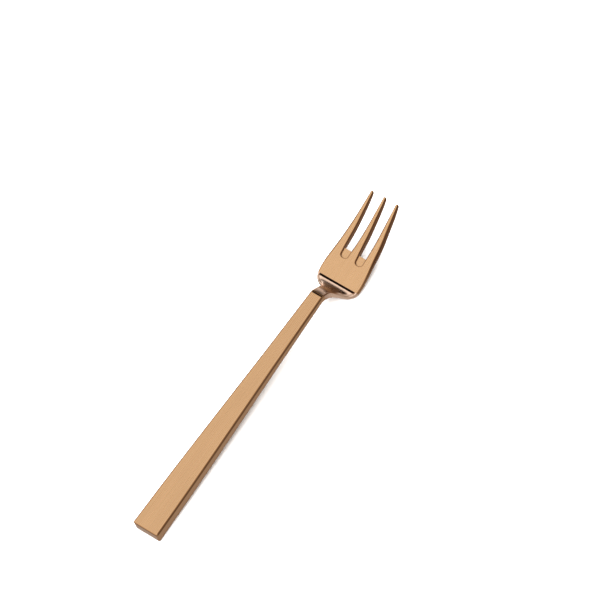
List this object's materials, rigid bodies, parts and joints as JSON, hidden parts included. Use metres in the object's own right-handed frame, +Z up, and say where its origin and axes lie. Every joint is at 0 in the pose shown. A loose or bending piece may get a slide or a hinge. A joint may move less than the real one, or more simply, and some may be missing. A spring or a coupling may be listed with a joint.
{
  "type": "cocktail fork",
  "caption": "Slim cocktail fork with a thick tapered square-edged handle, a stepped polished neck, a shallow satin bowl and rising tapered tines.",
  "frame": {"origin": "centre of the bounding box's bottom face, on the table the fork lies on", "axes": "+X along the fork towards the tips, +Y to the fork's left, +Z up with the tines curving up"},
  "size_m": [0.147, 0.0178, 0.0146],
  "materials": {
    "satin_rose_gold": "satin brushed, rose-gold coated",
    "polished_rose_gold": "mirror polished, rose-gold coated"
  },
  "bodies": {
    "root": {"handle": "satin_rose_gold", "neck": "polished_rose_gold", "bowl": "satin_rose_gold", "tine_left": "satin_rose_gold", "tine_centre": "satin_rose_gold", "tine_right": "satin_rose_gold"}
  },
  "joints": []
}
